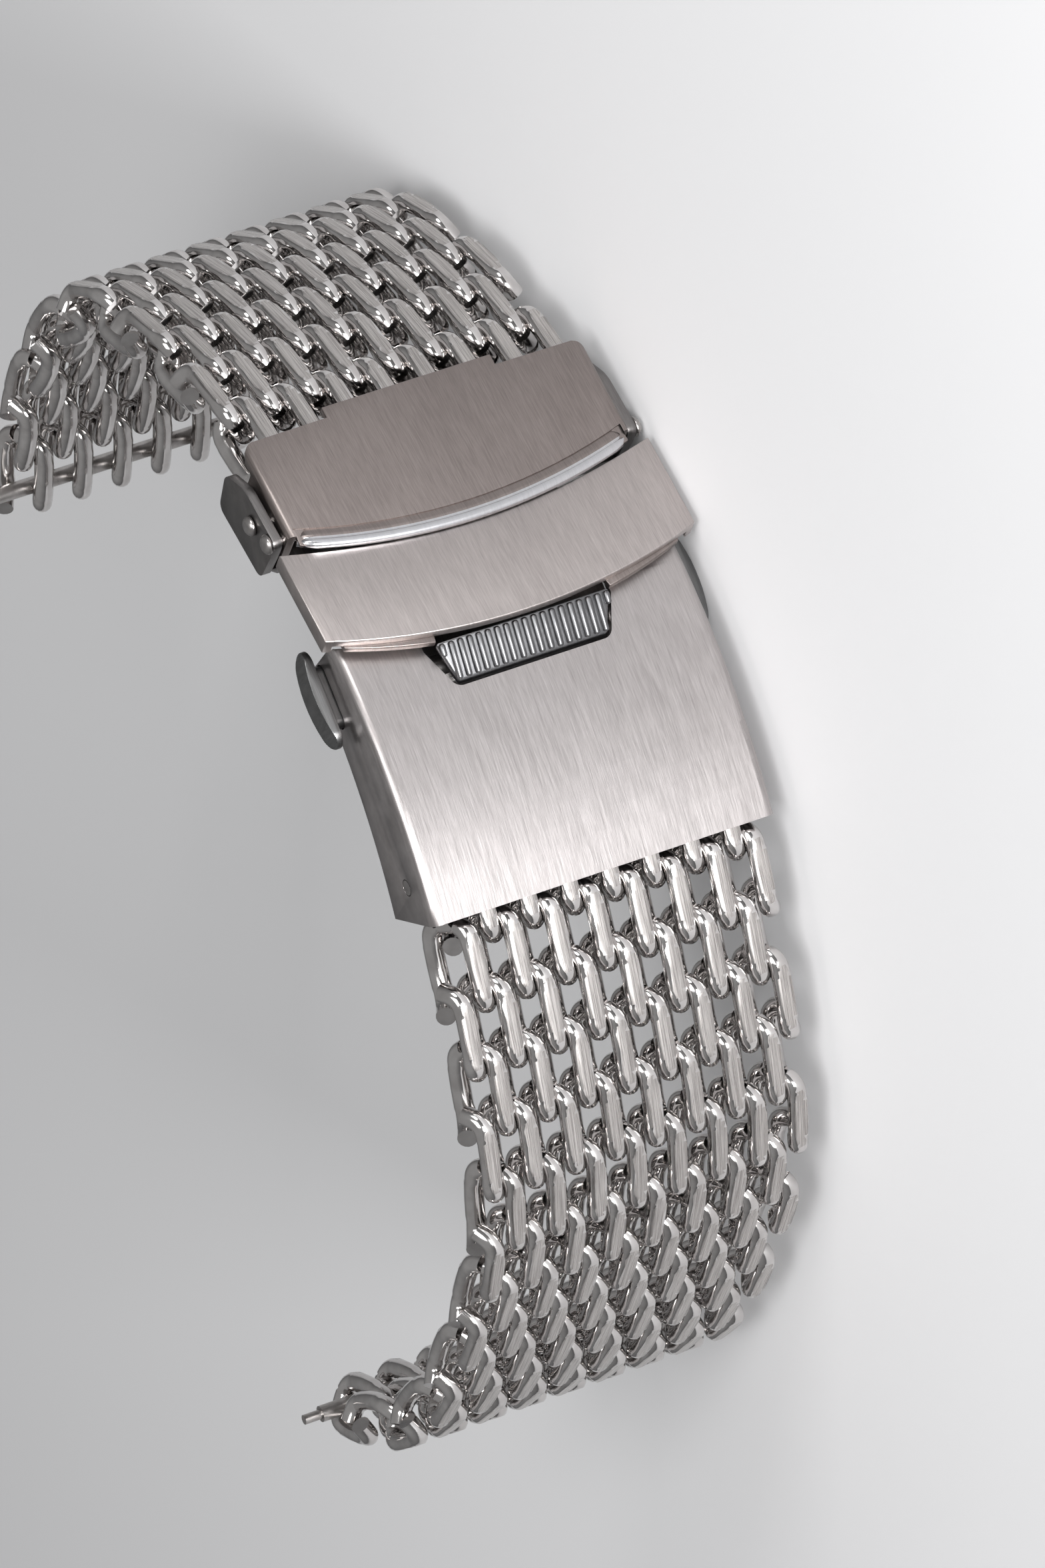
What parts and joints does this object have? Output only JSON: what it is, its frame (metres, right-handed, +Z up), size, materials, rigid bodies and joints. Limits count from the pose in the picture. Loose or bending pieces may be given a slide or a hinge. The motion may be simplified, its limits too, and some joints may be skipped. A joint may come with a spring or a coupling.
{
  "type": "mesh watch bracelet",
  "caption": "Steel watch bracelet of interlinked flattened wire coils, closed by a fold-over clasp with an end bridge, a ribbed flip lock, a curved cover and side push buttons",
  "frame": {"origin": "Middle of the bottom of the bounding box. The bracelet lies on its side, closed as round a wrist, on the button of one side and on the tips of both spring bars.", "axes": "+Z is up and runs across the width of the band, +Y points from the clasp to the open ends of the loop, +X points to the half of the mesh at the end bridge."},
  "size_m": [0.0662, 0.0566, 0.0246],
  "materials": {
    "mesh_steel": "polished stainless steel wire with brushed flats on its outer side",
    "clasp_steel": "stainless steel sheet brushed along the band",
    "ribbed_tab_steel": "darker satin stainless steel",
    "button_steel": "satin stainless steel",
    "pin_steel": "plain stainless steel"
  },
  "bodies": {
    "base": {"bottom_leaf": "clasp_steel", "end_bridge": "clasp_steel", "upper_row_01": "mesh_steel", "upper_mesh_pin": "pin_steel", "bridge_pin": "pin_steel", "flip_lock_pin": "pin_steel", "leaf_hinge_pin": "pin_steel"},
    "middle_leaf": {"middle_leaf": "clasp_steel", "cover_hinge_pin": "pin_steel"},
    "cover": {"cover": "clasp_steel", "lower_mesh_pin": "pin_steel", "lower_row_01": "mesh_steel"},
    "flip_lock": {"flip_lock_plate": "clasp_steel", "flip_lock_inner_plate": "clasp_steel", "ribbed_tab": "ribbed_tab_steel"},
    "button_left": {"button_left": "button_steel"},
    "button_right": {"button_right": "button_steel"},
    "upper_02": {"upper_row_02": "mesh_steel"},
    "upper_03": {"upper_row_03": "mesh_steel"},
    "upper_04": {"upper_row_04": "mesh_steel"},
    "upper_05": {"upper_row_05": "mesh_steel"},
    "upper_06": {"upper_row_06": "mesh_steel"},
    "upper_07": {"upper_row_07": "mesh_steel"},
    "upper_08": {"upper_row_08": "mesh_steel"},
    "upper_09": {"upper_row_09": "mesh_steel"},
    "upper_10": {"upper_row_10": "mesh_steel"},
    "upper_11": {"upper_row_11": "mesh_steel"},
    "upper_12": {"upper_row_12": "mesh_steel"},
    "upper_13": {"upper_row_13": "mesh_steel", "upper_spring_bar": "pin_steel"},
    "lower_02": {"lower_row_02": "mesh_steel"},
    "lower_03": {"lower_row_03": "mesh_steel"},
    "lower_04": {"lower_row_04": "mesh_steel"},
    "lower_05": {"lower_row_05": "mesh_steel"},
    "lower_06": {"lower_row_06": "mesh_steel"},
    "lower_07": {"lower_row_07": "mesh_steel"},
    "lower_08": {"lower_row_08": "mesh_steel"},
    "lower_09": {"lower_row_09": "mesh_steel"},
    "lower_10": {"lower_row_10": "mesh_steel"},
    "lower_11": {"lower_row_11": "mesh_steel"},
    "lower_12": {"lower_row_12": "mesh_steel"},
    "lower_13": {"lower_row_13": "mesh_steel"},
    "lower_14": {"lower_row_14": "mesh_steel"},
    "lower_15": {"lower_row_15": "mesh_steel", "lower_spring_bar": "pin_steel"}
  },
  "joints": [
    {"name": "upper_row_02_hook", "type": "hinge", "parent": "base", "child": "upper_02", "pos_m": [0.01086, -0.02548, 0.0123], "axis": [0, 0, -1], "range_deg": [-0.72, 5.7]},
    {"name": "upper_row_03_hook", "type": "hinge", "parent": "upper_02", "child": "upper_03", "pos_m": [0.01451, -0.02463, 0.0123], "axis": [0, 0, -1], "range_deg": [-1, 7.81]},
    {"name": "upper_row_04_hook", "type": "hinge", "parent": "upper_03", "child": "upper_04", "pos_m": [0.01801, -0.02327, 0.0123], "axis": [0, 0, -1], "range_deg": [-1.08, 8.38]},
    {"name": "upper_row_05_hook", "type": "hinge", "parent": "upper_04", "child": "upper_05", "pos_m": [0.02125, -0.02139, 0.0123], "axis": [0, 0, -1], "range_deg": [-0.62, 4.77]},
    {"name": "upper_row_06_hook", "type": "hinge", "parent": "upper_05", "child": "upper_06", "pos_m": [0.02432, -0.01924, 0.0123], "axis": [0, 0, -1], "range_deg": [-0.74, 5.72]},
    {"name": "upper_row_07_hook", "type": "hinge", "parent": "upper_06", "child": "upper_07", "pos_m": [0.02715, -0.01677, 0.0123], "axis": [0, 0, -1], "range_deg": [-1.58, 12.37]},
    {"name": "upper_row_08_hook", "type": "hinge", "parent": "upper_07", "child": "upper_08", "pos_m": [0.02935, -0.01374, 0.0123], "axis": [0, 0, -1], "range_deg": [-1.93, 15.12]},
    {"name": "upper_row_09_hook", "type": "hinge", "parent": "upper_08", "child": "upper_09", "pos_m": [0.03063, -0.01021, 0.0123], "axis": [0, 0, -1], "range_deg": [-1.22, 9.52]},
    {"name": "upper_row_10_hook", "type": "hinge", "parent": "upper_09", "child": "upper_10", "pos_m": [0.03129, -0.00652, 0.0123], "axis": [0, 0, -1], "range_deg": [-0.86, 6.67]},
    {"name": "upper_row_11_hook", "type": "hinge", "parent": "upper_10", "child": "upper_11", "pos_m": [0.03148, -0.00278, 0.0123], "axis": [0, 0, -1], "range_deg": [-0.74, 5.72]},
    {"name": "upper_row_12_hook", "type": "hinge", "parent": "upper_11", "child": "upper_12", "pos_m": [0.03129, 0.00097, 0.0123], "axis": [0, 0, -1], "range_deg": [-0.98, 7.62]},
    {"name": "upper_row_13_hook", "type": "hinge", "parent": "upper_12", "child": "upper_13", "pos_m": [0.03058, 0.00465, 0.0123], "axis": [0, 0, -1], "range_deg": [-1.22, 9.52]},
    {"name": "lower_row_02_hook", "type": "hinge", "parent": "cover", "child": "lower_02", "pos_m": [-0.01696, -0.01871, 0.0123], "axis": [0, 0, 1], "range_deg": [-0.48, 3.8]},
    {"name": "lower_row_03_hook", "type": "hinge", "parent": "lower_02", "child": "lower_03", "pos_m": [-0.01992, -0.0164, 0.0123], "axis": [0, 0, 1], "range_deg": [-0.5, 3.82]},
    {"name": "lower_row_04_hook", "type": "hinge", "parent": "lower_03", "child": "lower_04", "pos_m": [-0.0227, -0.01389, 0.0123], "axis": [0, 0, 1], "range_deg": [-0.42, 3.15]},
    {"name": "lower_row_05_hook", "type": "hinge", "parent": "lower_04", "child": "lower_05", "pos_m": [-0.02534, -0.01123, 0.0123], "axis": [0, 0, 1], "range_deg": [-0.49, 3.73]},
    {"name": "lower_row_06_hook", "type": "hinge", "parent": "lower_05", "child": "lower_06", "pos_m": [-0.02779, -0.00839, 0.0123], "axis": [0, 0, 1], "range_deg": [-1.29, 10.09]},
    {"name": "lower_row_07_hook", "type": "hinge", "parent": "lower_06", "child": "lower_07", "pos_m": [-0.02967, -0.00515, 0.0123], "axis": [0, 0, 1], "range_deg": [-1.76, 13.79]},
    {"name": "lower_row_08_hook", "type": "hinge", "parent": "lower_07", "child": "lower_08", "pos_m": [-0.03069, -0.00154, 0.0123], "axis": [0, 0, 1], "range_deg": [-1.1, 8.57]},
    {"name": "lower_row_09_hook", "type": "hinge", "parent": "lower_08", "child": "lower_09", "pos_m": [-0.03112, 0.00219, 0.0123], "axis": [0, 0, 1], "range_deg": [-0.33, 2.49]},
    {"name": "lower_row_10_hook", "type": "hinge", "parent": "lower_09", "child": "lower_10", "pos_m": [-0.03139, 0.00593, 0.0123], "axis": [0, 0, 1], "range_deg": [-0.33, 2.49]},
    {"name": "lower_row_11_hook", "type": "hinge", "parent": "lower_10", "child": "lower_11", "pos_m": [-0.03149, 0.00968, 0.0123], "axis": [0, 0, 1], "range_deg": [-0.55, 4.2]},
    {"name": "lower_row_12_hook", "type": "hinge", "parent": "lower_11", "child": "lower_12", "pos_m": [-0.0313, 0.01342, 0.0123], "axis": [0, 0, 1], "range_deg": [-1.09, 8.47]},
    {"name": "lower_row_13_hook", "type": "hinge", "parent": "lower_12", "child": "lower_13", "pos_m": [-0.03053, 0.01709, 0.0123], "axis": [0, 0, 1], "range_deg": [-1.22, 9.52]},
    {"name": "lower_row_14_hook", "type": "hinge", "parent": "lower_13", "child": "lower_14", "pos_m": [-0.02913, 0.02058, 0.0123], "axis": [0, 0, 1], "range_deg": [-1.22, 9.52]},
    {"name": "lower_row_15_hook", "type": "hinge", "parent": "lower_14", "child": "lower_15", "pos_m": [-0.02716, 0.02376, 0.0123], "axis": [0, 0, 1], "range_deg": [-0.98, 7.62]},
    {"name": "leaf_hinge", "type": "hinge", "parent": "base", "child": "middle_leaf", "pos_m": [-0.01093, -0.02122, 0.0123], "axis": [0, 0, -1], "range_deg": [0, 60]},
    {"name": "cover_hinge", "type": "hinge", "parent": "middle_leaf", "child": "cover", "pos_m": [-0.00365, -0.02466, 0.0123], "axis": [0, 0, 1], "range_deg": [0, 120.1]},
    {"name": "flip_lock_hinge", "type": "hinge", "parent": "base", "child": "flip_lock", "pos_m": [0.00062, -0.02635, 0.0123], "axis": [0, 0, 1], "range_deg": [0, 70]},
    {"name": "button_left_press", "type": "slide", "parent": "cover", "child": "button_left", "axis": [0, 0, -1], "range_m": [0, 0.00045], "stiffness_N_per_m": 2000},
    {"name": "button_right_press", "type": "slide", "parent": "cover", "child": "button_right", "axis": [0, 0, 1], "range_m": [0, 0.00045], "stiffness_N_per_m": 2000}
  ],
  "couplings": [
    {"joint": "upper_row_03_hook", "follows": "upper_row_02_hook", "ratio": 1.3667},
    {"joint": "upper_row_04_hook", "follows": "upper_row_02_hook", "ratio": 1.4667},
    {"joint": "upper_row_05_hook", "follows": "upper_row_02_hook", "ratio": 0.8333},
    {"joint": "upper_row_06_hook", "follows": "upper_row_02_hook", "ratio": 1},
    {"joint": "upper_row_07_hook", "follows": "upper_row_02_hook", "ratio": 2.1667},
    {"joint": "upper_row_08_hook", "follows": "upper_row_02_hook", "ratio": 2.65},
    {"joint": "upper_row_09_hook", "follows": "upper_row_02_hook", "ratio": 1.6667},
    {"joint": "upper_row_10_hook", "follows": "upper_row_02_hook", "ratio": 1.1667},
    {"joint": "upper_row_11_hook", "follows": "upper_row_02_hook", "ratio": 1},
    {"joint": "upper_row_12_hook", "follows": "upper_row_02_hook", "ratio": 1.3333},
    {"joint": "upper_row_13_hook", "follows": "upper_row_02_hook", "ratio": 1.6667},
    {"joint": "lower_row_03_hook", "follows": "lower_row_02_hook", "ratio": 1},
    {"joint": "lower_row_04_hook", "follows": "lower_row_02_hook", "ratio": 0.825},
    {"joint": "lower_row_05_hook", "follows": "lower_row_02_hook", "ratio": 0.975},
    {"joint": "lower_row_06_hook", "follows": "lower_row_02_hook", "ratio": 2.65},
    {"joint": "lower_row_07_hook", "follows": "lower_row_02_hook", "ratio": 3.625},
    {"joint": "lower_row_08_hook", "follows": "lower_row_02_hook", "ratio": 2.25},
    {"joint": "lower_row_09_hook", "follows": "lower_row_02_hook", "ratio": 0.65},
    {"joint": "lower_row_10_hook", "follows": "lower_row_02_hook", "ratio": 0.65},
    {"joint": "lower_row_11_hook", "follows": "lower_row_02_hook", "ratio": 1.1},
    {"joint": "lower_row_12_hook", "follows": "lower_row_02_hook", "ratio": 2.225},
    {"joint": "lower_row_13_hook", "follows": "lower_row_02_hook", "ratio": 2.5},
    {"joint": "lower_row_14_hook", "follows": "lower_row_02_hook", "ratio": 2.5},
    {"joint": "lower_row_15_hook", "follows": "lower_row_02_hook", "ratio": 2},
    {"joint": "cover_hinge", "follows": "leaf_hinge", "ratio": 2},
    {"joint": "flip_lock_hinge", "follows": "leaf_hinge", "ratio": 1.16},
    {"joint": "button_right_press", "follows": "button_left_press", "ratio": 1}
  ]
}
